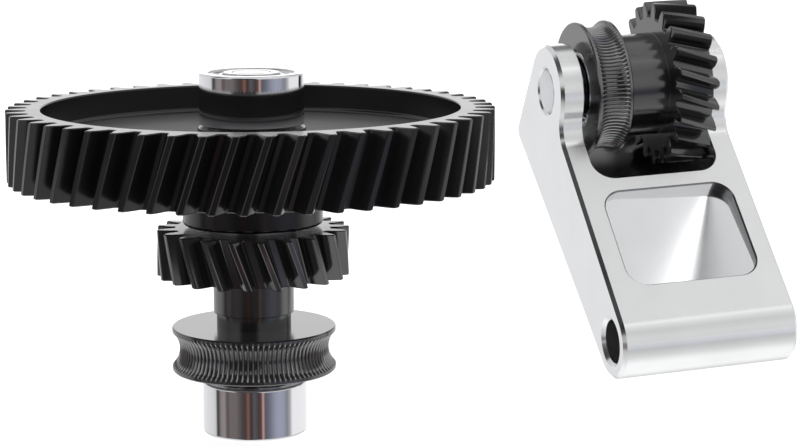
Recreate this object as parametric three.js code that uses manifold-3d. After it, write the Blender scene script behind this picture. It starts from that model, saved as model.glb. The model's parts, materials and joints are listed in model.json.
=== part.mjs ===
// Extruder gear assembly: a drive shaft unit and its spring-side idler lever unit.
// Units are millimetres, +Z up. The origin is on the drive shaft's axis, level with
// the end face of the lower bearing. Every mesh is one closed body.
import * as THREE from 'three';
import { mergeVertices } from 'three/addons/utils/BufferGeometryUtils.js';
import Module from 'manifold-3d';

const wasm = await Module();
wasm.setup();

const FINE = 48;                  // facets round the larger turned parts
const COARSE = 36;                // facets round bores and bearing outsides
const SMALL = 24;                 // facets round small rings, washers and ball cages

// ---------------------------------------------------------------- drive unit
const RUN = 0.02;                 // gap between parts that are pressed or clamped
const SHAFT_R = 1.48;
const BORE_R = SHAFT_R + RUN;
const DRIVE_BEARING = {
  bore: 1.5, innerR: 2.15, outerInnerR: 3.3, outerR: 4.0, width: 4.0, balls: 7, ballR: 0.53, facets: COARSE,
};
const LOWER_BEARING_Z = 0;
const WASHER_R = 2.9;
const HOB_Z = 4.9;
const HOB = { lipR: 6.32, throatR: 5.75, width: 3.4, lip: 0.36, ridges: 95, ridgeDepth: 0.16 };
const HOB_HUB = { r: 2.87, height: 1.1 };
const NECK_R = 3.1;
const PINION_Z = 12.3;
const PINION = { teeth: 21, module: 0.609, helix: 19, hand: -1, width: 3.7, start: -2.7 };
const GAP_RING_R = 3.3;
const COLLAR_Z = 16.3;
const COLLAR_R = 5.37;
const MAIN_Z = 19.8;
const MAIN = { teeth: 52, module: 0.655, helix: 17.5, hand: 1, width: 5.5, start: 2 };
const RECESS_R = 15.9;
const RECESS_DEPTH = 2.2;
const BOSS_R = 4.13;
const BOSS_TOP = 23.75;
const UPPER_BEARING_Z = 23.9;

// ---------------------------------------------------------------- idler unit
// Lever frame: x along the pivot bore, y towards the lever's back, z up the lever.
const LEVER_POS = [29.2, 16.3, 3.25];
const LEVER_YAW = 15.7;
const LEVER_ROLL = -2.7;
const LEVER_LEAN = -43.8;
const LEVER_W = 16;
const EAR_W = 2.05;
const PIVOT_BOSS_R = 3.2;
const PIVOT_BORE_R = 1.88;
const PIN = { y: -3.4, z: 24.4, r: 1.98, holeR: 2.0 };
const EAR_R = 4.2;
const WAIST_FILLET = 2.4;
const BACK_CORNER = { y: 5.15, z: 26.4, r: 1.0 };
const EDGE = 0.3;                 // chamfer along the lever's outline
const CAVITY = { floorZ: 14.5, backY: 4.45, cornerR: 2.0, wallTopZ: 24.5 };
const POCKET = { x0: 2.1, x1: 14.1, z0: 3.4, z1: 13.1, cornerR: 1.8 };
const IDLER_BEARING = {
  bore: 2.0, innerR: 2.4, outerInnerR: 3.05, outerR: 3.48, width: 2.5, balls: 8, ballR: 0.29, facets: SMALL,
};
const IDLER_BORE_R = 3.5;
const IDLER_HOB_X = 2.9;
const IDLER_HOB = { ...HOB, lipR: 6.0, throatR: 5.45, width: 3.2 };
const HUB_X = 6.1;
const HUB_R = 4.6;
const IDLER_GEAR_X = 10.1;
const IDLER_GEAR = { ...PINION, hand: 1, width: 3.6, start: 4.5 };
const BEARING_A_X = 3.05;
const BEARING_B_X = 10.95;
const SLEEVE_R = 2.36;

const deg = THREE.MathUtils.degToRad;
const group = new THREE.Group();
group.name = 'extruder_gear_assembly';

// ---------------------------------------------------------------- solids
function toManifold(positions, triangles) {
  const mesh = new wasm.Mesh({
    numProp: 3,
    vertProperties: new Float32Array(positions),
    triVerts: new Uint32Array(triangles),
  });
  return new wasm.Manifold(mesh);
}

// A three.js geometry as a manifold solid.
function fromGeometry(geometry) {
  const bare = geometry.clone();
  bare.deleteAttribute('normal');
  bare.deleteAttribute('uv');
  const merged = mergeVertices(bare, 1e-5);
  const index = merged.index.array;
  const kept = [];
  for (let i = 0; i < index.length; i += 3) {
    const [a, b, c] = [index[i], index[i + 1], index[i + 2]];
    if (a !== b && b !== c && a !== c) kept.push(a, b, c);
  }
  return toManifold(merged.attributes.position.array, kept);
}

function toGeometry(solid) {
  const mesh = solid.getMesh();
  const geometry = new THREE.BufferGeometry();
  geometry.setAttribute('position', new THREE.BufferAttribute(Float32Array.from(mesh.vertProperties), 3));
  geometry.setIndex(new THREE.BufferAttribute(Uint32Array.from(mesh.triVerts), 1));
  return geometry;
}

// Rings of equal length, stacked upwards and capped at both ends.
function loft(rings) {
  const n = rings[0].length;
  const positions = rings.flat(2);
  const triangles = [];
  for (let k = 0; k + 1 < rings.length; k += 1) {
    for (let i = 0; i < n; i += 1) {
      const a = k * n + i;
      const b = k * n + (i + 1) % n;
      triangles.push(a, b, b + n, a, b + n, a + n);
    }
  }
  const caps = [[0, true], [rings.length - 1, false]];
  for (const [k, flip] of caps) {
    const outline = rings[k].map(([x, y]) => new THREE.Vector2(x, y));
    for (const [a, b, c] of THREE.ShapeUtils.triangulateShape(outline, [])) {
      const face = flip ? [a, c, b] : [a, b, c];
      triangles.push(...face.map((i) => i + k * n));
    }
  }
  return toManifold(positions, triangles);
}

function circle(r, z, segments) {
  const ring = [];
  for (let i = 0; i < segments; i += 1) {
    const a = (2 * Math.PI * i) / segments;
    ring.push([r * Math.cos(a), r * Math.sin(a), z]);
  }
  return ring;
}

// A solid of revolution about Z from [radius, height] steps.
function turned(steps, segments) {
  return loft(steps.map(([r, z]) => circle(r, z, segments)));
}

function disc(r, z0, z1, segments, chamfer = 0) {
  if (chamfer === 0) return turned([[r, z0], [r, z1]], segments);
  const steps = [[r - chamfer, z0], [r, z0 + chamfer], [r, z1 - chamfer], [r - chamfer, z1]];
  return turned(steps, segments);
}

function tube(innerR, outerR, z0, z1, segments, chamfer = 0) {
  const hole = disc(innerR, z0 - 1, z1 + 1, segments);
  return disc(outerR, z0, z1, segments, chamfer).subtract(hole);
}

// ---------------------------------------------------------------- gears
function gearSizes(gear) {
  const beta = deg(gear.helix);
  const transverse = gear.module / Math.cos(beta);
  const pitchR = (transverse * gear.teeth) / 2;
  const pressure = Math.atan(Math.tan(deg(20)) / Math.cos(beta));
  return {
    pitchR,
    tipR: pitchR + gear.module,
    rootR: pitchR - 1.25 * gear.module,
    baseR: pitchR * Math.cos(pressure),
    pressure,
    turn: (gear.hand * Math.tan(beta)) / pitchR,
  };
}

// Half the angle a tooth covers at radius r, on an involute flank.
function halfAngle(gear, sizes, r) {
  const involute = (a) => Math.tan(a) - a;
  const local = Math.acos(Math.min(1, sizes.baseR / Math.max(r, sizes.baseR)));
  const play = 0.03 / sizes.pitchR;
  return Math.PI / (2 * gear.teeth) - play + involute(sizes.pressure) - involute(local);
}

// A helical toothed disc standing on z0, its first tooth at the gear's start angle.
function toothed(gear, z0) {
  const sizes = gearSizes(gear);
  const radii = [sizes.rootR, sizes.pitchR, sizes.tipR];
  const layers = 2;
  const rings = [];
  for (let k = 0; k <= layers; k += 1) {
    const z = (gear.width * k) / layers;
    const ring = [];
    for (let t = 0; t < gear.teeth; t += 1) {
      const middle = deg(gear.start) + (2 * Math.PI * t) / gear.teeth + sizes.turn * z;
      for (const r of radii) {
        const a = middle - halfAngle(gear, sizes, r);
        ring.push([r * Math.cos(a), r * Math.sin(a), z0 + z]);
      }
      for (const r of [...radii].reverse()) {
        const a = middle + halfAngle(gear, sizes, r);
        ring.push([r * Math.cos(a), r * Math.sin(a), z0 + z]);
      }
    }
    rings.push(ring);
  }
  return loft(rings);
}

// A feed wheel: plain lips with a concave groove cut by fine cross ridges.
function hobWheel(hob, z0) {
  const halfGroove = hob.width / 2 - hob.lip;
  const depth = hob.lipR - hob.throatR;
  const arcR = (halfGroove ** 2 + depth ** 2) / (2 * depth);
  const rows = [[0, 0, 0], [hob.lip, 0, 0]];
  for (const s of [-0.5, 0.5]) {
    const offset = s * halfGroove;
    const sink = Math.sqrt(arcR ** 2 - offset ** 2) - (arcR - depth) + depth * 0.12;
    rows.push([hob.width / 2 + offset, sink, 1]);
  }
  rows.push([hob.width - hob.lip, 0, 0], [hob.width, 0, 0]);
  const rings = rows.map(([z, sink, cut]) => {
    const ring = [];
    for (let i = 0; i < 2 * hob.ridges; i += 1) {
      const a = (Math.PI * i) / hob.ridges;
      const r = hob.lipR - sink - (i % 2) * cut * hob.ridgeDepth;
      ring.push([r * Math.cos(a), r * Math.sin(a), z0 + z]);
    }
    return ring;
  });
  return loft(rings);
}

// ---------------------------------------------------------------- bearings
function bearingParts(size, z0, withShields) {
  const z1 = z0 + size.width;
  const middleR = (size.innerR + size.outerInnerR) / 2;
  const parts = {
    outer_ring: tube(size.outerInnerR, size.outerR, z0, z1, size.facets, 0.18),
    inner_ring: tube(size.bore, size.innerR, z0, z1, SMALL),
  };
  const zc = (z0 + z1) / 2;
  let balls = tube(middleR - 0.13, middleR + 0.13, zc - 0.12, zc + 0.12, SMALL);
  for (let i = 0; i < size.balls; i += 1) {
    const a = (2 * Math.PI * i) / size.balls;
    const ball = new THREE.SphereGeometry(size.ballR, 6, 3);
    ball.rotateX(Math.PI / 2);
    ball.translate(middleR * Math.cos(a), middleR * Math.sin(a), zc);
    balls = balls.add(fromGeometry(ball));
  }
  parts.ball_cage = balls;
  if (withShields) {
    const inner = size.innerR + 0.08;
    const outer = size.outerInnerR - RUN;
    parts.lower_shield = tube(inner, outer, z0 + 0.15, z0 + 0.35, SMALL);
    parts.upper_shield = tube(inner, outer, z1 - 0.35, z1 - 0.15, SMALL);
  }
  return parts;
}

// ---------------------------------------------------------------- lever
// The outline in the lever's own y-z plane, as a 2-D shape with y across and z up.
function leverOutline() {
  const points = [];
  const arc = (cy, cz, r, from, to, steps) => {
    for (let i = 0; i <= steps; i += 1) {
      const a = from + ((to - from) * i) / steps;
      points.push(new THREE.Vector2(cy + r * Math.cos(a), cz + r * Math.sin(a)));
    }
  };
  const corner = BACK_CORNER;
  // back line, tangent to the pivot boss and to the rounded back corner
  const span = Math.hypot(corner.y, corner.z);
  const towards = Math.atan2(corner.z, corner.y);
  const backNormal = towards - Math.acos((PIVOT_BOSS_R - corner.r) / span);
  // top line, tangent to the back corner and to the ear
  const dy = PIN.y - corner.y;
  const dz = PIN.z - corner.z;
  const reach = Math.hypot(dy, dz);
  const topNormal = Math.atan2(dz, dy) + 2 * Math.PI - Math.acos((corner.r - EAR_R) / reach);
  // waist fillet between the ear and the flat front
  const filletY = -PIVOT_BOSS_R - WAIST_FILLET;
  const drop = Math.sqrt((EAR_R + WAIST_FILLET) ** 2 - (filletY - PIN.y) ** 2);
  const filletZ = PIN.z - drop;
  const meet = Math.atan2(drop, PIN.y - filletY);
  arc(0, 0, PIVOT_BOSS_R, -Math.PI, backNormal, 20);
  arc(corner.y, corner.z, corner.r, backNormal, topNormal, 4);
  arc(PIN.y, PIN.z, EAR_R, topNormal, Math.PI + meet, 16);
  arc(filletY, filletZ, WAIST_FILLET, meet, 0, 5);
  return new THREE.Shape(points.filter((p, i) => i === 0 || p.distanceTo(points[i - 1]) > 0.01));
}

// Turn a shape drawn in (y, z) and extruded along +x into the lever frame.
function alongX(geometry) {
  const basis = new THREE.Matrix4().makeBasis(
    new THREE.Vector3(0, 1, 0),
    new THREE.Vector3(0, 0, 1),
    new THREE.Vector3(1, 0, 0),
  );
  return geometry.applyMatrix4(basis);
}

// A round solid along +x from its [radius, x] steps, centred on (y, z).
function acrossX(steps, y, z, segments) {
  const solid = toGeometry(turned(steps, segments));
  alongX(solid);
  solid.translate(0, y, z);
  return fromGeometry(solid);
}

// A box with rounded corners in x-z, cut from y0 to y1.
function roundedCut(x0, x1, z0, z1, y0, y1, r) {
  const shape = new THREE.Shape();
  shape.absarc(x1 - r, z0 + r, r, -Math.PI / 2, 0);
  shape.absarc(x1 - r, z1 - r, r, 0, Math.PI / 2);
  shape.absarc(x0 + r, z1 - r, r, Math.PI / 2, Math.PI);
  shape.absarc(x0 + r, z0 + r, r, Math.PI, 1.5 * Math.PI);
  const geometry = new THREE.ExtrudeGeometry(shape, { depth: y1 - y0, bevelEnabled: false, curveSegments: 6 });
  const basis = new THREE.Matrix4().makeBasis(
    new THREE.Vector3(1, 0, 0),
    new THREE.Vector3(0, 0, 1),
    new THREE.Vector3(0, -1, 0),
  );
  geometry.applyMatrix4(basis);
  geometry.translate(0, y1, 0);
  return fromGeometry(geometry);
}

// The pocket's cutter: its floor is two gentle slopes that meet, at their deepest, in a
// fold from the top right corner down to the middle of the bottom edge.
function pocketCut() {
  const front = -PIVOT_BOSS_R;
  const outline = roundedCut(POCKET.x0, POCKET.x1, POCKET.z0, POCKET.z1, front - 2, front + 3, POCKET.cornerR);
  const fold = [[13.04, POCKET.z1 + 1, 1.0], [7.42, POCKET.z0 - 1, 0.656]];
  const left = [[-4, POCKET.z1 + 1, 0.489], [-4, POCKET.z0 - 1, 0.313]];
  const right = [[19, POCKET.z1 + 1, 0.8], [19, POCKET.z0 - 1, 0.274]];
  const rows = [left, fold, right];
  const positions = [];
  for (const row of rows) {
    for (const [x, z, depth] of row) {
      positions.push(x, front + depth, z, x, front - 4, z);
    }
  }
  const triangles = [];
  const quad = (a, b, c, d) => triangles.push(a, b, c, a, c, d);
  for (const k of [0, 1]) {
    const i = 4 * k;
    quad(i, i + 4, i + 6, i + 2);
    quad(i + 1, i + 3, i + 7, i + 5);
    quad(i, i + 1, i + 5, i + 4);
    quad(i + 2, i + 6, i + 7, i + 3);
  }
  quad(0, 2, 3, 1);
  quad(8, 9, 11, 10);
  const wedge = toManifold(positions, triangles);
  return outline.intersect(wedge);
}

function leverSolid() {
  const options = {
    depth: LEVER_W - 2 * EDGE,
    bevelEnabled: true,
    bevelSegments: 1,
    bevelSize: EDGE,
    bevelThickness: EDGE,
    bevelOffset: -EDGE,
  };
  const body = alongX(new THREE.ExtrudeGeometry(leverOutline(), options));
  body.translate(EDGE, 0, 0);
  let lever = fromGeometry(body);
  const right = LEVER_W - EAR_W;
  const cuts = [
    roundedCut(EAR_W, right, CAVITY.floorZ, 40, -20, CAVITY.backY, CAVITY.cornerR),
    roundedCut(EAR_W, right, CAVITY.wallTopZ, 40, 0, 20, 0.4),
    pocketCut(),
  ];
  const bores = [[0, 0, PIVOT_BORE_R, 0.3], [PIN.y, PIN.z, PIN.holeR, 0.2]];
  for (const [y, z, r, flare] of bores) {
    const steps = [
      [r + flare + 1, -1],
      [r, flare],
      [r, LEVER_W - flare],
      [r + flare + 1, LEVER_W + 1],
    ];
    cuts.push(acrossX(steps, y, z, COARSE));
  }
  for (const cut of cuts) lever = lever.subtract(cut);
  return lever;
}

// ---------------------------------------------------------------- placing
const leverPose = new THREE.Matrix4()
  .makeTranslation(...LEVER_POS)
  .multiply(new THREE.Matrix4().makeRotationZ(deg(LEVER_YAW)))
  .multiply(new THREE.Matrix4().makeRotationY(deg(LEVER_ROLL)))
  .multiply(new THREE.Matrix4().makeRotationX(deg(LEVER_LEAN)));

const finishes = {
  black_plastic: { color: 0x17181a, roughness: 0.42, metalness: 0 },
  black_steel: { color: 0x1d1e20, roughness: 0.3, metalness: 0.85 },
  chrome: { color: 0xd6d8db, roughness: 0.08, metalness: 1 },
  steel: { color: 0xb9bbbe, roughness: 0.25, metalness: 1 },
  aluminium: { color: 0xc9cbcd, roughness: 0.35, metalness: 1 },
};

function place(name, solid, finish, matrix = null) {
  const geometry = toGeometry(solid);
  if (matrix) geometry.applyMatrix4(matrix);
  geometry.computeVertexNormals();
  const mesh = new THREE.Mesh(geometry, new THREE.MeshStandardMaterial(finishes[finish]));
  mesh.name = name;
  group.add(mesh);
}

const bearingFinish = {
  outer_ring: 'chrome',
  inner_ring: 'steel',
  ball_cage: 'steel',
  lower_shield: 'steel',
  upper_shield: 'steel',
};

// ---------------------------------------------------------------- drive unit
const shaftTop = UPPER_BEARING_Z + DRIVE_BEARING.width;
const shaftBore = disc(BORE_R, -1, shaftTop + 1, COARSE);

place('drive_shaft', disc(SHAFT_R, 0, shaftTop, COARSE, 0.15), 'steel');
for (const [prefix, z] of [['lower_bearing', LOWER_BEARING_Z], ['upper_bearing', UPPER_BEARING_Z]]) {
  for (const [part, solid] of Object.entries(bearingParts(DRIVE_BEARING, z, true))) {
    place(`${prefix}_${part}`, solid, bearingFinish[part]);
  }
}
const washerZ = LOWER_BEARING_Z + DRIVE_BEARING.width;
place('lower_washer', tube(BORE_R, WASHER_R, washerZ, HOB_Z, SMALL, 0.1), 'steel');
const hobTop = HOB_Z + HOB.width;
const neckZ = hobTop + HOB_HUB.height;
const driveHob = hobWheel(HOB, HOB_Z).add(disc(HOB_HUB.r, HOB_Z + 1, neckZ, COARSE));
place('drive_hob', driveHob.subtract(shaftBore), 'black_steel');

const pinionTop = PINION_Z + PINION.width;
const pinion = toothed(PINION, PINION_Z).add(disc(NECK_R, neckZ, PINION_Z + 1, COARSE));
place('drive_pinion', pinion.subtract(shaftBore), 'black_steel');
place('gap_ring', tube(BORE_R, GAP_RING_R, pinionTop, COLLAR_Z, SMALL), 'steel');

const mainTop = MAIN_Z + MAIN.width;
const recess = disc(RECESS_R, mainTop - RECESS_DEPTH, mainTop + 1, FINE);
const collar = turned([[COLLAR_R - 0.25, COLLAR_Z], [COLLAR_R, COLLAR_Z + 0.25], [COLLAR_R, MAIN_Z + 1]], FINE);
const boss = disc(BOSS_R, mainTop - RECESS_DEPTH - 1, BOSS_TOP, FINE);
const mainGear = toothed(MAIN, MAIN_Z).subtract(recess).add(collar).add(boss);
place('main_gear', mainGear.subtract(shaftBore), 'black_plastic');
place('upper_shim', tube(BORE_R, 2.1, BOSS_TOP, UPPER_BEARING_Z, SMALL), 'steel');

// ---------------------------------------------------------------- idler unit
// Parts on the idler pin are turned about Z, then laid along the lever's x.
const pinPose = leverPose.clone().multiply(
  new THREE.Matrix4()
    .makeTranslation(0, PIN.y, PIN.z)
    .multiply(new THREE.Matrix4().makeBasis(
      new THREE.Vector3(0, 1, 0),
      new THREE.Vector3(0, 0, 1),
      new THREE.Vector3(1, 0, 0),
    )),
);
const idlerBore = disc(IDLER_BORE_R, -1, LEVER_W + 1, COARSE);
const hubEnd = IDLER_GEAR_X + IDLER_GEAR.width;

place('idler_lever', leverSolid(), 'aluminium', leverPose);
place('idler_pin', disc(PIN.r, 0.05, LEVER_W - 0.05, COARSE, 0.15), 'steel', pinPose);
place('idler_hob', hobWheel(IDLER_HOB, IDLER_HOB_X).subtract(idlerBore), 'black_steel', pinPose);
const hub = disc(HUB_R, HUB_X, IDLER_GEAR_X + 1, FINE);
const idlerGear = toothed(IDLER_GEAR, IDLER_GEAR_X).add(hub);
place('idler_gear', idlerGear.subtract(idlerBore), 'black_steel', pinPose);
for (const [prefix, x] of [['idler_bearing_a', BEARING_A_X], ['idler_bearing_b', BEARING_B_X]]) {
  for (const [part, solid] of Object.entries(bearingParts(IDLER_BEARING, x, false))) {
    place(`${prefix}_${part}`, solid, bearingFinish[part], pinPose);
  }
}
const sleeves = [
  ['idler_washer_left', EAR_W, BEARING_A_X],
  ['idler_sleeve', BEARING_A_X + IDLER_BEARING.width, BEARING_B_X],
  ['idler_washer_right', BEARING_B_X + IDLER_BEARING.width, LEVER_W - EAR_W],
];
for (const [name, x0, x1] of sleeves) {
  place(name, tube(PIN.holeR, SLEEVE_R, x0, x1, SMALL), 'steel', pinPose);
}

export default group;
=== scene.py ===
import json
import math

import bpy
import numpy as np
from mathutils import Matrix, Vector


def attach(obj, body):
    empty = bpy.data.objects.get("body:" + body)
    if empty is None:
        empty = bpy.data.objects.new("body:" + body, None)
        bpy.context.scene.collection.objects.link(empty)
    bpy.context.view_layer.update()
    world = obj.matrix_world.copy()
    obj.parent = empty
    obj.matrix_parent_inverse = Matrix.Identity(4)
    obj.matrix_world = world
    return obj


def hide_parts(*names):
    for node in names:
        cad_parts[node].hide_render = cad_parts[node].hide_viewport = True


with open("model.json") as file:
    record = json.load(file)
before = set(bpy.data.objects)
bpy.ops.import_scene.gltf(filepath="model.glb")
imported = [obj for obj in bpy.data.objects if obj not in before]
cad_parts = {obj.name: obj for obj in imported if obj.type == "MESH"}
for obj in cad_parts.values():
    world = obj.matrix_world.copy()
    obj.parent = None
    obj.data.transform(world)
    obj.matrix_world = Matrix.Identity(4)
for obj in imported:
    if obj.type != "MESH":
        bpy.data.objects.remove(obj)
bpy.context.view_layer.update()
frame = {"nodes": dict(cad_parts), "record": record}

MM = 0.001
TAU = 2 * math.pi

# Sizes repeated from part.mjs, in millimetres and degrees. low is the height of a gear's lower face on its axis.
PINION = dict(teeth=21, module=0.609, helix=19, hand=-1, low=12.3, width=3.7, start=-2.7)
MAIN = dict(teeth=52, module=0.655, helix=17.5, hand=1, low=19.8, width=5.5, start=2)
IDLER = dict(teeth=21, module=0.609, helix=19, hand=1, low=10.1, width=3.6, start=4.5)
HOB = dict(lip_r=6.32, throat_r=5.75, width=3.4, lip=0.36)
IDLER_HOB = dict(lip_r=6.0, throat_r=5.45, width=3.2, lip=0.36)
RIDGES = 95
RIDGE_CUT = 0.2
# Radii of the drive shaft's bore, and of a bearing's inner and outer race, and its width.
BORE_R = 1.5
INNER_RACE_R, OUTER_RACE_R, BEARING_R, BEARING_W = 2.15, 3.3, 4.0, 4.0
# Heights on the drive axis at which one piece or step ends and the next begins.
WASHER_Z, HOB_Z, NECK_Z, PINION_Z, GAP_Z, COLLAR_Z = 4.0, 4.9, 9.4, 12.3, 16.0, 16.3
MAIN_Z, RECESS_Z, SHIM_Z, UPPER_BEARING_Z, RIM_Z, SHAFT_TOP_Z = 19.8, 23.1, 23.75, 23.9, 25.3, 27.9
# Places along the idler pin of its feed wheel, and of its gear's hub, teeth and far end.
IDLER_HOB_X, HUB_X, IDLER_GEAR_X, IDLER_END_X = 2.9, 6.1, 10.1, 13.7
LEVER_POS = (29.2, 16.3, 3.25)
LEVER_YAW, LEVER_ROLL, LEVER_LEAN = 15.7, -2.7, -43.8
LEVER_W = 16.0
EAR_W = 2.05
PIVOT_R, PIVOT_BORE = 3.2, 1.88
PIN_Y, PIN_Z, PIN_HOLE = -3.4, 24.4, 2.0
EAR_R = 4.2
WAIST = 2.4
CORNER_Y, CORNER_Z, CORNER_R = 5.15, 26.4, 1.0
EDGE = 0.3
CAVITY_Y, CAVITY_Z, CAVITY_R = 4.45, 14.5, 2.0
WALL_TOP_Z, WALL_TOP_R = 24.5, 0.4
# The pocket's sides in x and z and its corner radius, and the bevel round its mouth.
POCKET = (2.1, 14.1, 3.4, 13.1, 1.8)
BEVEL_REACH, BEVEL_DEPTH = 0.3, 0.13
# The upper end of the fold in the pocket's floor, and a second point on it, in x and z.
FOLD_TOP, FOLD_LOW = (12.9, 13.8), (7.9, 3.4)
# Distance from a small round to the support point beside it, which keeps flat faces flat in the shading.
BESIDE = 0.03

LEVER_POSE = (
    Matrix.Translation(LEVER_POS)
    @ Matrix.Rotation(math.radians(LEVER_YAW), 4, "Z")
    @ Matrix.Rotation(math.radians(LEVER_ROLL), 4, "Y")
    @ Matrix.Rotation(math.radians(LEVER_LEAN), 4, "X")
)
# Parts on the idler pin are drawn about Z and laid along the lever's x.
PIN_POSE = LEVER_POSE @ Matrix.Translation((0, PIN_Y, PIN_Z)) @ Matrix(
    ((0, 0, 1, 0), (1, 0, 0, 0), (0, 1, 0, 0), (0, 0, 0, 1))
)


# ------------------------------------------------------------------ materials
def material(name, tone, rough, metallic=0.0, spread=0.04, grain=900.0, bump=0.0, **extra):
    """A procedural finish: a noise shifts its colour and roughness a little, and lifts a fine grain."""
    mat = bpy.data.materials.new(name)
    mat.use_nodes = True
    nodes, links = mat.node_tree.nodes, mat.node_tree.links
    bsdf = nodes["Principled BSDF"]
    bsdf.inputs["Metallic"].default_value = metallic
    for key, value in extra.items():
        bsdf.inputs[key.replace("_", " ")].default_value = value
    where = nodes.new("ShaderNodeTexCoord")
    cloud = nodes.new("ShaderNodeTexNoise")
    cloud.inputs["Scale"].default_value = 260.0
    cloud.inputs["Detail"].default_value = 4.0
    links.new(where.outputs["Object"], cloud.inputs["Vector"])
    ramp = nodes.new("ShaderNodeValToRGB")
    low = [max(c * (1 - 3 * spread), 0) for c in tone]
    high = [min(c * (1 + 3 * spread), 1) for c in tone]
    ramp.color_ramp.elements[0].position = 0.3
    ramp.color_ramp.elements[1].position = 0.7
    ramp.color_ramp.elements[0].color = (*low, 1)
    ramp.color_ramp.elements[1].color = (*high, 1)
    links.new(cloud.outputs["Fac"], ramp.inputs["Fac"])
    links.new(ramp.outputs["Color"], bsdf.inputs["Base Color"])
    level = nodes.new("ShaderNodeMapRange")
    level.inputs["To Min"].default_value = rough * 0.85
    level.inputs["To Max"].default_value = rough * 1.15
    links.new(cloud.outputs["Fac"], level.inputs["Value"])
    links.new(level.outputs["Result"], bsdf.inputs["Roughness"])
    if bump:
        fine = nodes.new("ShaderNodeTexNoise")
        fine.inputs["Scale"].default_value = grain
        fine.inputs["Detail"].default_value = 3.0
        links.new(where.outputs["Object"], fine.inputs["Vector"])
        lift = nodes.new("ShaderNodeBump")
        lift.inputs["Strength"].default_value = bump
        lift.inputs["Distance"].default_value = 0.00002
        links.new(fine.outputs["Fac"], lift.inputs["Height"])
        links.new(lift.outputs["Normal"], bsdf.inputs["Normal"])
    return mat


BLACK_OXIDE = (0.008, 0.008, 0.0085)
BRIGHT_ALUMINIUM = (0.82, 0.825, 0.83)
black_plastic = material("satin_black_plastic", (0.006, 0.006, 0.0065), 0.22, bump=0.12, grain=5000.0)
matte_plastic = material("matte_black_plastic", (0.012, 0.012, 0.0125), 0.55, bump=0.12, grain=5000.0, IOR=2.1)
black_steel = material("black_oxide_steel", BLACK_OXIDE, 0.18, bump=0.06, grain=3500.0, IOR=2.0)
chrome = material("polished_chrome_steel", (0.80, 0.80, 0.82), 0.04, metallic=1.0, spread=0.01)
steel = material("bright_turned_steel", (0.66, 0.66, 0.68), 0.2, metallic=1.0, spread=0.02)
aluminium = material("satin_aluminium", BRIGHT_ALUMINIUM, 0.2, metallic=1.0, spread=0.008, bump=0.1, grain=4500.0)
matte_aluminium = material(
    "matte_aluminium", BRIGHT_ALUMINIUM, 0.33, metallic=1.0, spread=0.008, bump=0.1, grain=4500.0,
)
milled_aluminium = material("milled_aluminium", (0.84, 0.85, 0.86), 0.1, metallic=1.0, spread=0.004)
# Darker aluminium for the pocket's right wall and the bevel round its mouth: painted shade in the pocket.
pocket_wall_painted_shade = material("pocket_wall_painted_shade_aluminium", (0.24, 0.24, 0.245), 0.25, metallic=1.0, spread=0.02)
ridged_steel = material("ridged_black_steel", BLACK_OXIDE, 0.16, bump=0.06, grain=3500.0, IOR=2.0)
ridged_bright = material("ridged_bright_steel", BLACK_OXIDE, 0.18, bump=0.06, grain=3500.0, IOR=2.4)


def paint_crest_highlights(mat):
    """Mixes grey metal in along the crests of the feed wheels' ridges: a painted highlight on each crest."""
    nodes, links = mat.node_tree.nodes, mat.node_tree.links
    bsdf = nodes["Principled BSDF"]
    crest_highlight = nodes.new("ShaderNodeAttribute")
    crest_highlight.attribute_name = "crest_highlight"
    links.new(crest_highlight.outputs["Fac"], bsdf.inputs["Metallic"])
    blend = nodes.new("ShaderNodeMix")
    blend.data_type = "RGBA"
    links.new(crest_highlight.outputs["Fac"], blend.inputs[0])
    links.new(bsdf.inputs["Base Color"].links[0].from_socket, blend.inputs[6])
    blend.inputs[7].default_value = (0.5, 0.5, 0.5, 1)
    links.new(blend.outputs[2], bsdf.inputs["Base Color"])


paint_crest_highlights(ridged_steel)
paint_crest_highlights(ridged_bright)
FINISH = {
    "black_plastic": black_plastic,
    "black_steel": black_steel,
    "chrome": chrome,
    "steel": steel,
    "aluminium": aluminium,
}
BODY_OF = {n: b for b, nodes in frame["record"]["behaviour"]["bodies"].items() for n in nodes}
SLOT_OF = {s["node"]: s["material_slot"] for s in frame["record"]["subparts"]}


# ------------------------------------------------------------------ mesh helpers
def piece(name, verts, faces, nodes, pose=None, sharp=30, finish=None):
    """Makes a mesh in the shared frame from millimetres, and puts it in place of its CAD nodes."""
    verts = np.asarray(verts, float)
    if pose is not None:
        matrix = np.array(pose, float)
        verts = verts @ matrix[:3, :3].T + matrix[:3, 3]
    mesh = bpy.data.meshes.new(name)
    mesh.from_pydata((verts * MM).tolist(), [], [list(map(int, f)) for f in faces])
    mesh.validate()
    mesh.shade_smooth()
    mesh.set_sharp_from_angle(angle=math.radians(sharp))
    obj = bpy.data.objects.new(name, mesh)
    bpy.context.collection.objects.link(obj)
    dress(obj, nodes, finish)
    return obj


def dress(obj, nodes, finish=None):
    """Gives a piece its finish, the one for its CAD node's material slot unless one is given, and its body, in
    place of its CAD nodes.
    """
    slot = SLOT_OF[nodes[0]]
    obj.data.materials.clear()
    obj.data.materials.append(finish or FINISH[slot])
    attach(obj, BODY_OF[nodes[0]])
    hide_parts(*nodes)


def loft(rings, wrap=False):
    """Faces between equal rings; an open stack is capped at both ends."""
    n, m = len(rings[0]), len(rings)
    i = np.arange(n)
    j = (i + 1) % n
    faces = []
    for k in range(m if wrap else m - 1):
        a, b = k * n, ((k + 1) % m) * n
        faces.extend(np.stack([a + i, a + j, b + j, b + i], 1).tolist())
    if not wrap:
        faces.append(list(range(n - 1, -1, -1)))
        faces.append([(m - 1) * n + k for k in range(n)])
    return np.concatenate(rings), faces


def ring(radius, z, angles):
    """Points at one height, with one radius or one radius each."""
    radius = np.broadcast_to(np.asarray(radius, float), angles.shape)
    return np.stack([radius * np.cos(angles), radius * np.sin(angles), np.full(angles.shape, float(z))], 1)


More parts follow.
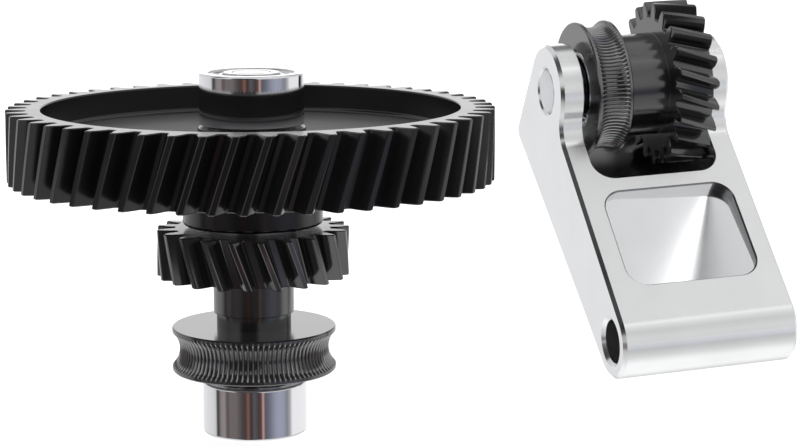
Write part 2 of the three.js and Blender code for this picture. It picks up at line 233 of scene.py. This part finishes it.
def rounded(points, closed=True, steps=4):
    """A polyline of (r, z, corner radius) with each corner rounded, and a point close beside each round."""
    out = []
    n = len(points)
    for i, (r, z, rad) in enumerate(points):
        if rad == 0 or (not closed and i in (0, n - 1)):
            out.append((r, z))
            continue
        p = Vector((r, z))
        a = Vector(points[i - 1][:2]) - p
        b = Vector(points[(i + 1) % n][:2]) - p
        half = a.angle(b) / 2
        reach = rad / math.tan(half)
        start, end = p + a.normalized() * reach, p + b.normalized() * reach
        centre = p + (a.normalized() + b.normalized()).normalized() * (rad / math.sin(half))
        u, v = start - centre, end - centre
        turn = u.angle(v)
        out.append(tuple(start + a.normalized() * BESIDE))
        for k in range(steps + 1):
            s = k / steps
            q = centre + (u * math.sin((1 - s) * turn) + v * math.sin(s * turn)) / math.sin(turn)
            out.append((q.x, q.y))
        out.append(tuple(end + b.normalized() * BESIDE))
    return out


def turned(name, profile, nodes, pose=None, segments=128, steps=4, finish=None):
    """A closed (r, z, corner radius) outline turned about Z."""
    angles = np.arange(segments) * TAU / segments
    rings = [ring(r, z, angles) for r, z in rounded(profile, True, steps)]
    return piece(name, *loft(rings, True), nodes, pose, finish=finish)


def rod(name, r, z0, z1, edge, nodes, pose=None, segments=96):
    """A solid round bar with rounded ends."""
    angles = np.arange(segments) * TAU / segments
    corner = [(edge * math.sin(t), edge * (1 - math.cos(t))) for t in np.linspace(math.pi / 2, 0, 5)]
    low = [(r - edge + s, z0 + u) for s, u in reversed(corner)]
    high = [(r - edge + s, z1 - u) for s, u in corner]
    wall = [(r, z0 + edge + BESIDE), (r, z1 - edge - BESIDE)]
    rings = [ring(a, z, angles) for a, z in low + wall + high]
    return piece(name, *loft(rings), nodes, pose)


# ------------------------------------------------------------------ gears
def tooth_outline(gear):
    """Radii of one ring of teeth, the angle of each point's tooth, its angle from there, and the turn per mm."""
    beta = math.radians(gear["helix"])
    m = gear["module"]
    pitch = m / math.cos(beta) * gear["teeth"] / 2
    root, tip = pitch - 1.25 * m, pitch + m
    pressure = math.atan(math.tan(math.radians(20)) / math.cos(beta))
    base = pitch * math.cos(pressure)

    def half(r):
        a = math.acos(min(1, base / max(r, base)))
        inv = math.tan(pressure) - pressure - (math.tan(a) - a)
        return math.pi / (2 * gear["teeth"]) - 0.03 / pitch + inv

    flank = [(root, half(root) + 0.22 * m / root), (root + 0.09 * m, half(root) + 0.08 * m / root)]
    for r in (root + 0.28 * m, (root + pitch) / 2, pitch, pitch + 0.5 * m, tip - 0.08 * m):
        flank.append((r, half(r)))
    flank.append((tip, half(tip) - 0.08 * m / tip))
    radii, sides = [], []
    for r, a in flank:
        radii.append(r)
        sides.append(-a)
    for r, a in reversed(flank):
        radii.append(r)
        sides.append(a)
    count = gear["teeth"]
    middle = np.repeat(math.radians(gear["start"]) + np.arange(count) * TAU / count, len(radii))
    radii, sides = np.tile(radii, count), np.tile(sides, count)
    spin = gear["hand"] * math.tan(beta) / pitch
    return radii, middle, sides, spin


def gear_piece(name, gear, inner, nodes, pose=None, chamfer=0.07, layers=14):
    """A ring of teeth, closed through the rounded inner path of (r, z, corner radius)."""
    radii, middle, sides, spin = tooth_outline(gear)
    z0 = gear["low"]
    z1 = z0 + gear["width"]
    heights = [(z0, chamfer), (z0 + chamfer, 0)]
    heights += [(z0 + chamfer + (gear["width"] - 2 * chamfer) * k / layers, 0) for k in range(1, layers)]
    heights += [(z1 - chamfer, 0), (z1, chamfer)]
    rings = []
    for z, c in heights:
        shrunk = sides - np.sign(sides) * c / radii
        rings.append(ring(radii - c, z, middle + shrunk + spin * (z - z0)))
    path = rounded(inner, False)
    for k, (r, z) in enumerate(path):
        share = 1 - k / (len(path) - 1)
        rings.append(ring(r, z, middle + sides + spin * gear["width"] * share))
    return piece(name, *loft(rings, True), nodes, pose, sharp=28)


main_gear = gear_piece(
    "main_helical_gear", MAIN,
    [(16.75, RIM_Z, 0), (15.9, RIM_Z, 0.12), (15.9, RECESS_Z, 0.35), (4.13, RECESS_Z, 0.12), (4.13, SHIM_Z, 0.1),
     (BORE_R, SHIM_Z, 0.05), (BORE_R, COLLAR_Z, 0.05), (5.37, COLLAR_Z, 0.22), (5.37, MAIN_Z, 0.25),
     (16.75, MAIN_Z, 0)],
    ["main_gear"],
)
# The floor of the gear's recess is left matt.
main_gear.data.materials.append(matte_plastic)
for face in main_gear.data.polygons:
    if face.normal.z > 0.99 and abs(face.center.z / MM - RECESS_Z) < 0.1:
        face.material_index = 1
gear_piece(
    "pinion_with_neck", PINION,
    [(5.8, GAP_Z, 0), (BORE_R, GAP_Z, 0.08), (BORE_R, NECK_Z, 0.05), (3.1, NECK_Z, 0.05), (3.1, PINION_Z, 0.1),
     (5.8, PINION_Z, 0)],
    ["drive_pinion"],
)
gear_piece(
    "idler_gear_with_hub", IDLER,
    [(5.8, IDLER_END_X, 0), (3.5, IDLER_END_X, 0.1), (3.5, HUB_X, 0.1), (4.6, HUB_X, 0.05),
     (4.6, IDLER_GEAR_X, 0.03), (5.8, IDLER_GEAR_X, 0)],
    ["idler_gear"], PIN_POSE,
)


# ------------------------------------------------------------------ feed wheels
def hob_piece(name, hob, z0, bore, nodes, finish, pose=None, hub=()):
    """A concave groove cut by rounded cross ridges that run out in scallops at the lips."""
    per = 10
    count = RIDGES * per
    angles = np.arange(count) * TAU / count
    phase = (np.arange(count) % per) / per
    valley = np.minimum(1, 1.25 * np.sin(math.pi * phase)) ** 1.3
    half = hob["width"] / 2 - hob["lip"]
    depth = hob["lip_r"] - hob["throat_r"]
    arc = (half**2 + depth**2) / (2 * depth)
    lip, w, edge = hob["lip_r"], hob["width"], 0.09
    rows = [(0, edge, 0), (edge, 0, 0), (hob["lip"] - 0.04, 0, 0)]
    for s in np.linspace(-1, 1, 17):
        sink = math.sqrt(arc**2 - (s * half) ** 2) - (arc - depth)
        rows.append((w / 2 + s * half, sink, 0.45 + 0.55 * (1 - s**6)))
    rows += [(w - hob["lip"] + 0.04, 0, 0), (w - edge, 0, 0), (w, edge, 0)]
    rings = [ring(lip - sink - RIDGE_CUT * cut * valley, z0 + z, angles) for z, sink, cut in rows]
    top = hub[-1][1] if hub else w
    for r, z in (*hub, (bore + 0.1, top), (bore, top - 0.1), (bore, 0.1), (bore + 0.1, 0)):
        rings.append(ring(r, z0 + z, angles))
    obj = piece(name, *loft(rings, True), nodes, pose, sharp=40, finish=finish)
    # Weight of the painted highlight: full at each ridge's crest, none in its valleys.
    crest_highlight = np.concatenate([np.ones(count) * (cut > 0) * (1 - valley) ** 3 for _, _, cut in rows])
    values = np.zeros(len(obj.data.vertices))
    values[: len(crest_highlight)] = crest_highlight
    obj.data.attributes.new("crest_highlight", "FLOAT", "POINT").data.foreach_set("value", values)
    return obj


hob_piece(
    "drive_feed_wheel", HOB, HOB_Z, BORE_R, ["drive_hob"], ridged_steel,
    hub=((2.87, 3.4), (2.87, 4.45), (2.82, 4.5)),
)
hob_piece("idler_feed_wheel", IDLER_HOB, IDLER_HOB_X, 3.5, ["idler_hob"], ridged_bright, PIN_POSE)


# ------------------------------------------------------------------ bearings, shaft, washers
def bearing(prefix, z0):
    """A bearing's two rings and its two covers. Its balls and cage stay as they are in the CAD model."""
    z1 = z0 + BEARING_W
    turned(
        f"{prefix}_outer_race",
        [(OUTER_RACE_R, z0, 0.05), (BEARING_R, z0, 0.17), (BEARING_R, z1, 0.17), (OUTER_RACE_R, z1, 0.05),
         (OUTER_RACE_R, z1 - 0.5, 0), (OUTER_RACE_R, z0 + 0.5, 0)],
        [f"{prefix}_outer_ring"], segments=192, steps=6,
    )
    turned(
        f"{prefix}_inner_race",
        [(BORE_R, z0, 0.06), (INNER_RACE_R, z0, 0.06), (INNER_RACE_R, z1, 0.06), (BORE_R, z1, 0.06)],
        [f"{prefix}_inner_ring"],
    )
    for side, low, out in (("lower", z0 + 0.15, 0), ("upper", z1 - 0.35, 1)):
        high = low + 0.2
        if out:
            step = high - 0.08
            outline = [(2.23, low, 0), (3.28, low, 0), (3.28, high, 0.03), (3.12, high, 0.03),
                       (3.02, step, 0.04), (2.55, step, 0.04), (2.45, high, 0.04), (2.23, high, 0.04)]
        else:
            step = low + 0.08
            outline = [(2.23, low, 0.04), (2.45, low, 0.04), (2.55, step, 0.04), (3.02, step, 0.04),
                       (3.12, low, 0.03), (3.28, low, 0.03), (3.28, high, 0), (2.23, high, 0)]
        turned(f"{prefix}_{side}_cover", outline, [f"{prefix}_{side}_shield"])


bearing("lower_bearing", 0.0)
bearing("upper_bearing", UPPER_BEARING_Z)
rod("drive_spindle", 1.48, 0.0, SHAFT_TOP_Z, 0.18, ["drive_shaft"])
for name, r, low, high, inner, outer, node, finish in (
    ("thrust_washer", 2.9, WASHER_Z, HOB_Z, 0.05, 0.1, "lower_washer", chrome),
    ("collar_ring", 3.3, GAP_Z, COLLAR_Z, 0.02, 0.05, "gap_ring", None),
    ("thin_shim", 2.1, SHIM_Z, UPPER_BEARING_Z, 0.02, 0.02, "upper_shim", None),
):
    section = [(BORE_R, low, inner), (r, low, outer), (r, high, outer), (BORE_R, high, inner)]
    turned(name, section, [node], finish=finish)
rod("idler_axle", 1.98, 0.05, 15.95, 0.2, ["idler_pin"], PIN_POSE)
for label, a, b in (("washer_left", 2.05, 3.05), ("sleeve", 5.55, 10.95), ("washer_right", 13.45, 13.95)):
    turned(f"spacer_{label}", [(2.0, a, 0.04), (2.36, a, 0.06), (2.36, b, 0.06), (2.0, b, 0.04)],
           [f"idler_{label}"], PIN_POSE, 96)


# ------------------------------------------------------------------ lever
def lever_outline(inset):
    """The lever's side outline in (y, z), drawn inset from its true edge."""
    points = []

    def arc(cy, cz, r, start, end, steps):
        for a in np.linspace(start, end, steps):
            points.append((cy + r * math.cos(a), cz + r * math.sin(a)))

    span = math.hypot(CORNER_Y, CORNER_Z)
    back = math.atan2(CORNER_Z, CORNER_Y) - math.acos((PIVOT_R - CORNER_R) / span)
    dy, dz = PIN_Y - CORNER_Y, PIN_Z - CORNER_Z
    top = math.atan2(dz, dy) + TAU - math.acos((CORNER_R - EAR_R) / math.hypot(dy, dz))
    waist_y = -PIVOT_R - WAIST
    drop = math.sqrt((EAR_R + WAIST) ** 2 - (waist_y - PIN_Y) ** 2)
    waist_z = PIN_Z - drop
    meet = math.atan2(drop, PIN_Y - waist_y)
    arc(0, 0, PIVOT_R - inset, -math.pi, back, 64)
    arc(CORNER_Y, CORNER_Z, CORNER_R - inset, back, top, 14)
    arc(PIN_Y, PIN_Z, EAR_R - inset, top, math.pi + meet, 64)
    arc(waist_y, waist_z, WAIST + inset, meet, 0, 20)
    out = [points[0]]
    for p in [*points[1:], points[0]]:
        gap = math.dist(p, out[-1])
        if gap > 2:
            q = out[-1]
            for share in (BESIDE / gap, 1 - BESIDE / gap):
                out.append((q[0] + (p[0] - q[0]) * share, q[1] + (p[1] - q[1]) * share))
        if gap > 1e-4 and p is not points[0]:
            out.append(p)
    return out


def plain_object(name, verts, faces):
    mesh = bpy.data.meshes.new(name)
    mesh.from_pydata([tuple(v) for v in verts], [], [list(f) for f in faces])
    mesh.validate()
    obj = bpy.data.objects.new(name, mesh)
    bpy.context.collection.objects.link(obj)
    return obj


def boolean(target, cutter, operation="DIFFERENCE"):
    """Applies an exact boolean and removes the cutter."""
    mod = target.modifiers.new("cut", "BOOLEAN")
    mod.operation = operation
    mod.solver = "EXACT"
    mod.object = cutter
    graph = bpy.context.evaluated_depsgraph_get()
    result = bpy.data.meshes.new_from_object(target.evaluated_get(graph))
    target.modifiers.clear()
    target.data = result
    bpy.data.objects.remove(cutter)


def rounded_rect(x0, x1, z0, z1, r, steps=16):
    """The (x, z) outline of a rectangle with round corners."""
    out = []
    left, right, low, high = x0 + r, x1 - r, z0 + r, z1 - r
    for cx, cz, start in ((right, low, -0.25), (right, high, 0), (left, high, 0.25), (left, low, 0.5)):
        for k in range(steps + 1):
            a = TAU * (start + 0.25 * k / steps)
            out.append((cx + r * math.cos(a), cz + r * math.sin(a)))
    return out


def prism_y(name, outline, y0, y1):
    """A prism along y over an (x, z) outline."""
    rings = [np.array([(x, y, z) for x, z in outline]) for y in (y1, y0)]
    return plain_object(name, *loft(rings))


def bore_x(name, y, z, r, flare):
    """A cutter along x for a bore with a chamfer at each outer face."""
    angles = np.arange(96) * TAU / 96
    steps = [(r + flare + 1, -1), (r, flare), (r, LEVER_W - flare), (r + flare + 1, LEVER_W + 1)]
    rings = [np.stack([np.full(96, x), y + a * np.cos(angles), z + a * np.sin(angles)], 1) for a, x in steps]
    return plain_object(name, *loft(rings))


def pocket_depth(x, z):
    """Depth of the pocket floor: two gentle slopes meet in a soft fold that fans out downwards."""
    left = 0.26 + 0.035 * x + 0.003 * (12 * x - 0.5 * x**2) + 0.012 * z
    along = np.subtract(FOLD_LOW, FOLD_TOP)
    along = along / np.hypot(*along)
    dx, dz = x - FOLD_TOP[0], z - FOLD_TOP[1]
    side = dz * along[0] - dx * along[1]
    soft = 0.06 + 0.2 * np.maximum(dx * along[0] + dz * along[1], 0.0)
    bend = 0.5 * (side + np.sqrt(side**2 + soft**2))
    return left - 0.1 * bend


def pocket_cutter():
    """The space of the pocket: a block over its shaped floor, cut to the pocket's outline."""
    x0, x1, z0, z1, r = POCKET
    xs, zs = np.linspace(x0 - 0.5, x1 + 0.5, 90), np.linspace(z0 - 0.5, z1 + 0.5, 72)
    gx, gz = np.meshgrid(xs, zs)
    floor_y = -PIVOT_R + pocket_depth(gx, gz)
    n, m = len(xs), len(zs)
    front = np.stack([gx, np.full(gx.shape, -PIVOT_R - 3), gz], -1).reshape(-1, 3)
    back = np.stack([gx, floor_y, gz], -1).reshape(-1, 3)
    verts = np.concatenate([front, back])
    faces = []
    for j in range(m - 1):
        for i in range(n - 1):
            a = j * n + i
            faces.append([a, a + 1, a + n + 1, a + n])
            b = a + n * m
            faces.append([b, b + n, b + n + 1, b + 1])
    rim = list(range(n)) + [j * n + n - 1 for j in range(1, m)]
    rim += [(m - 1) * n + i for i in range(n - 2, -1, -1)] + [j * n for j in range(m - 2, 0, -1)]
    for a, b in zip(rim, rim[1:] + rim[:1]):
        faces.append([a, a + n * m, b + n * m, b])
    block = plain_object("pocket_block", verts, faces)
    outline = prism_y("pocket_outline", rounded_rect(x0, x1, z0, z1, r), -PIVOT_R - 2, 1.5)
    boolean(block, outline, "INTERSECT")
    return block


def pocket_bevel():
    """A narrow bevel round the pocket's mouth."""
    x0, x1, z0, z1, r = POCKET
    reach, depth = BEVEL_REACH, BEVEL_DEPTH
    wide = rounded_rect(x0 - reach, x1 + reach, z0 - reach, z1 + reach, r + reach)
    mouth = [(rounded_rect(x0, x1, z0, z1, r), -PIVOT_R + depth), (wide, -PIVOT_R + depth - reach)]
    rings = [np.array([(x, y, z) for x, z in outline]) for outline, y in mouth]
    return plain_object("pocket_bevel", *loft(rings))


def lever():
    """The lever, cut from its side outline, with its finishes and a painted shade on its pocket's right wall and
    mouth bevel chosen face by face before it is leant over.
    """
    widths = [(0, EDGE), (EDGE, 0), (LEVER_W - EDGE, 0), (LEVER_W, EDGE)]
    rings = [np.array([(x, y, z) for y, z in lever_outline(inset)]) for x, inset in widths]
    body = plain_object("lever_body", *loft(rings))
    right = LEVER_W - EAR_W
    boolean(body, prism_y("cavity", rounded_rect(EAR_W, right, CAVITY_Z, 40, CAVITY_R), -20, CAVITY_Y))
    boolean(body, prism_y("wall_top", rounded_rect(EAR_W, right, WALL_TOP_Z, 40, WALL_TOP_R), 0, 20))
    boolean(body, pocket_cutter())
    boolean(body, pocket_bevel())
    boolean(body, bore_x("pivot", 0, 0, PIVOT_BORE, 0.3))
    boolean(body, bore_x("pin", PIN_Y, PIN_Z, PIN_HOLE, 0.2))
    mesh = body.data
    x0, x1, z0, z1, _ = POCKET
    deepest = 1.6
    finish_of = []
    for face in mesh.polygons:
        x, y, z = face.center
        sunk, facing = y + PIVOT_R, -face.normal.y
        in_pocket = x0 - BEVEL_REACH < x < x1 + BEVEL_REACH and z0 - BEVEL_REACH < z < z1 + BEVEL_REACH
        right_wall, bevel = face.normal.x < -0.2, abs(facing - 0.7) < 0.05
        front_face = facing > 0.9999 and abs(sunk) < 0.001
        floor_face = facing > 0.97 and 0.1 < sunk < deepest
        # The pocket's right wall and its mouth bevel get the darker aluminium, which is painted shade in the
        # pocket.
        painted_shade_face = 0 < sunk < deepest and (right_wall or bevel) and in_pocket
        finish_of.append(1 if front_face else 2 if floor_face else 3 if painted_shade_face else 0)
    mesh.transform(Matrix.Scale(MM, 4) @ LEVER_POSE)
    mesh.shade_smooth()
    mesh.set_sharp_from_angle(angle=math.radians(18))
    body.name = "machined_lever"
    dress(body, ["idler_lever"])
    mesh.materials.append(matte_aluminium)
    mesh.materials.append(milled_aluminium)
    mesh.materials.append(pocket_wall_painted_shade)
    mesh.polygons.foreach_set("material_index", finish_of)
    return body


lever_piece = lever()

# The CAD nodes that stay on show.
for node, obj in frame["nodes"].items():
    obj.data.materials.clear()
    obj.data.materials.append(FINISH[SLOT_OF[node]])


# ------------------------------------------------------------------ floor, light, camera
# Half the floor's side, and its distance under the object, in metres.
FLOOR_HALF, FLOOR_GAP = 4.0, 0.00002


def floor():
    """A pale floor just under the object, left out of its reflections and shadows."""
    mesh = bpy.data.meshes.new("floor")
    s = FLOOR_HALF
    mesh.from_pydata([(-s, -s, 0), (s, -s, 0), (s, s, 0), (-s, s, 0)], [], [(0, 1, 2, 3)])
    obj = bpy.data.objects.new("floor", mesh)
    bpy.context.collection.objects.link(obj)
    obj.location.z = -FLOOR_GAP
    mat = material("pale_floor", (0.93, 0.93, 0.93), 0.9, spread=0.004)
    obj.data.materials.append(mat)
    obj.visible_glossy = False
    obj.visible_diffuse = False
    obj.visible_shadow = False


floor()


def area(name, where, target, width, height, power):
    """A rectangular light at one point that faces another."""
    data = bpy.data.lights.new(name, "AREA")
    data.shape = "RECTANGLE"
    data.size, data.size_y = width, height
    data.energy = power
    obj = bpy.data.objects.new(name, data)
    bpy.context.collection.objects.link(obj)
    obj.location = where
    direction = Vector(target) - Vector(where)
    obj.rotation_euler = direction.to_track_quat("-Z", "Y").to_euler()
    return obj


wash = area("floor_wash", (0.0, 0.1, 0.7), (0.01, 0.05, 0), 1.2, 1.2, 9.0)
wash.visible_glossy = False
wash.data.use_shadow = False


def studio_world():
    """A studio: panels at eye level by compass angle, a sky by height, and patches and stripes in it."""
    world = bpy.data.worlds.new("studio")
    bpy.context.scene.world = world
    world.use_nodes = True
    nodes, links = world.node_tree.nodes, world.node_tree.links

    def node(kind, **values):
        made = nodes.new(kind)
        for key, value in values.items():
            setattr(made, key, value)
        return made

    def ramp(stops, value):
        made = node("ShaderNodeValToRGB")
        first = made.color_ramp.elements[0]
        first.position, first.color = stops[0][0], (*stops[0][1], 1)
        last = made.color_ramp.elements[1]
        last.position, last.color = stops[-1][0], (*stops[-1][1], 1)
        for place, colour in stops[1:-1]:
            made.color_ramp.elements.new(place).color = (*colour, 1)
        links.new(value, made.inputs["Fac"])
        return made.outputs["Color"]

    def mix(factor, low, high):
        made = node("ShaderNodeMix", data_type="RGBA")
        links.new(factor, made.inputs[0])
        links.new(low, made.inputs[6])
        if isinstance(high, (int, float)):
            made.inputs[7].default_value = (high, high, high, 1)
        else:
            links.new(high, made.inputs[7])
        return made.outputs[2]

    def gate(aim, off, on):
        """Rises smoothly from nothing to one as the dot product with a direction goes from off to on."""
        facing = node("ShaderNodeVectorMath", operation="DOT_PRODUCT")
        facing.inputs[1].default_value = aim
        links.new(where, facing.inputs[0])
        step = node("ShaderNodeMapRange", interpolation_type="SMOOTHSTEP")
        step.inputs["From Min"].default_value = off
        step.inputs["From Max"].default_value = on
        links.new(facing.outputs["Value"], step.inputs["Value"])
        return step.outputs["Result"]

    where = node("ShaderNodeTexCoord").outputs["Generated"]
    split = node("ShaderNodeSeparateXYZ")
    links.new(where, split.inputs["Vector"])
    flip = node("ShaderNodeMath", operation="MULTIPLY")
    flip.inputs[1].default_value = -1.0
    links.new(split.outputs["Y"], flip.inputs[0])
    turn = node("ShaderNodeMath", operation="ARCTAN2")
    links.new(split.outputs["X"], turn.inputs[0])
    links.new(flip.outputs["Value"], turn.inputs[1])
    share = node("ShaderNodeMapRange")
    share.inputs["From Min"].default_value = -math.pi
    share.inputs["From Max"].default_value = math.pi
    links.new(turn.outputs["Value"], share.inputs["Value"])
    height = node("ShaderNodeMapRange")
    height.inputs["From Min"].default_value = -1.0
    links.new(split.outputs["Z"], height.inputs["Value"])

    sky = ramp([((z + 1) / 2, (v, v, v)) for z, v in SKY], height.outputs["Result"])
    for (compass, rise), inner, outer, value in PATCHES:
        az, el = math.radians(compass), math.radians(rise)
        aim = (math.sin(az) * math.cos(el), -math.cos(az) * math.cos(el), math.sin(el))
        sky = mix(gate(aim, math.cos(math.radians(outer)), math.cos(math.radians(inner))), sky, value)
    for lo, hi, value in STRIPES:
        factor = gate(STRIPE_CENTRE, 0.8, 0.9)
        across = (STRIPE_ACROSS, lo, hi, 0.25)
        along = (STRIPE_ALONG, -STRIPE_REACH, STRIPE_REACH, 0.6)
        for aim, first, last, soft in (across, along):
            for place, out in ((first, -soft), (last, soft)):
                ends = [math.sin(math.radians(place + sign * out)) for sign in (1, -1)]
                both = node("ShaderNodeMath", operation="MULTIPLY")
                links.new(factor, both.inputs[0])
                links.new(gate(aim, *ends), both.inputs[1])
                factor = both.outputs["Value"]
        sky = mix(factor, sky, value)
    panels = ramp([((a + 180) / 360, c) for a, c in PANELS], share.outputs["Result"])
    band = ramp([((z + 1) / 2, (v, v, v)) for z, v in BAND], height.outputs["Result"])
    links.new(mix(band, sky, panels), nodes["Background"].inputs["Color"])
    nodes["Background"].inputs["Strength"].default_value = 1.0


# Compass angle in degrees (0 is the camera side, positive to its right) and the panel's colour.
PANELS = [
    (-180, (0.95, 0.95, 0.95)), (-130, (0.88, 0.88, 0.9)), (-105, (0.8, 0.8, 0.8)), (-95, (0.7, 0.7, 0.7)),
    (-89, (0.06, 0.055, 0.055)), (-84, (0.1, 0.1, 0.1)), (-78, (0.28, 0.25, 0.25)), (-68, (0.33, 0.28, 0.27)),
    (-61, (0.11, 0.1, 0.1)), (-53, (0.19, 0.16, 0.16)), (-39, (0.18, 0.16, 0.16)), (-25, (0.08, 0.07, 0.07)),
    (-17, (0.08, 0.05, 0.045)), (-11.5, (0.24, 0.12, 0.1)), (-5, (0.05, 0.035, 0.035)), (2, (0.11, 0.11, 0.12)),
    (12, (0.07, 0.05, 0.05)), (18, (0.12, 0.07, 0.07)), (21.5, (0.6, 0.38, 0.34)), (26, (0.12, 0.11, 0.13)),
    (35, (0.16, 0.17, 0.22)), (49, (0.33, 0.34, 0.42)), (58, (0.38, 0.4, 0.5)), (70, (0.36, 0.38, 0.47)),
    (80, (0.26, 0.27, 0.3)), (88, (0.45, 0.45, 0.47)), (96, (0.98, 0.98, 0.98)), (150, (1.0, 1.0, 1.0)),
    (180, (0.95, 0.95, 0.95)),
]
# How much of the panels shows at each height (the sine of the elevation).
BAND = [(-1.0, 0.0), (-0.31, 0.0), (-0.27, 1.0), (-0.05, 1.0), (-0.02, 0.0), (1.0, 0.0)]
# Brightness of the rest by height.
SKY = [
    (-1.0, 1.1), (-0.85, 1.15), (-0.66, 0.82), (-0.4, 0.62), (0.0, 0.75), (0.24, 0.8), (0.55, 0.68),
    (0.78, 0.9), (0.83, 1.2), (0.87, 0.82), (0.914, 0.77), (1.0, 0.75),
]
# Patches: (compass angle, elevation), inner and outer radius in degrees, brightness.
PATCHES = [
    ((170, 36), 12, 30, 0.2),
    ((180, 8), 10, 26, 1.5),
    ((-12, 4), 22, 34, 0.06),
    ((-82, 35), 13, 24, 0.05),
    ((128, 79.5), 2.5, 4.5, 0.15),
]
# Short stripes side by side, high up: first and last degrees across them, and brightness. The second is the bright
# one. STRIPE_REACH is their half length in degrees.
STRIPE_CENTRE = (0.371, -0.0585, 0.9268)
STRIPE_ACROSS = (-0.7579, -0.5958, 0.2657)
STRIPE_ALONG = (-0.5367, 0.801, 0.2654)
STRIPE_REACH = 3.2
STRIPES = [(-8.0, -3.1, 0.5), (-2.6, -0.9, 2.6), (-0.2, 1.4, 0.08), (1.9, 2.6, 0.3)]
studio_world()

# Fills the dark front panels as the lever alone sees them.
fill = area("lever_fill", (0.387, -0.38, -0.075), (0.037, 0.01, 0.01), 0.36, 0.14, 0.08)
lever_only = bpy.data.collections.new("lever_only")
lever_only.objects.link(lever_piece)
fill.light_linking.receiver_collection = lever_only

camera_data = bpy.data.cameras.new("camera")
camera_data.sensor_width = 36.0
camera_data.lens = 98.04
camera_data.clip_start, camera_data.clip_end = 0.01, 20.0
camera = bpy.data.objects.new("camera", camera_data)
bpy.context.collection.objects.link(camera)
CAMERA_DOWN = 9.561
camera.location = (0.011284, -0.164924, 0.044045)
camera.rotation_euler = (math.radians(90 - CAMERA_DOWN), 0, 0)
bpy.context.scene.camera = camera
bpy.context.scene.view_settings.view_transform = "Standard"
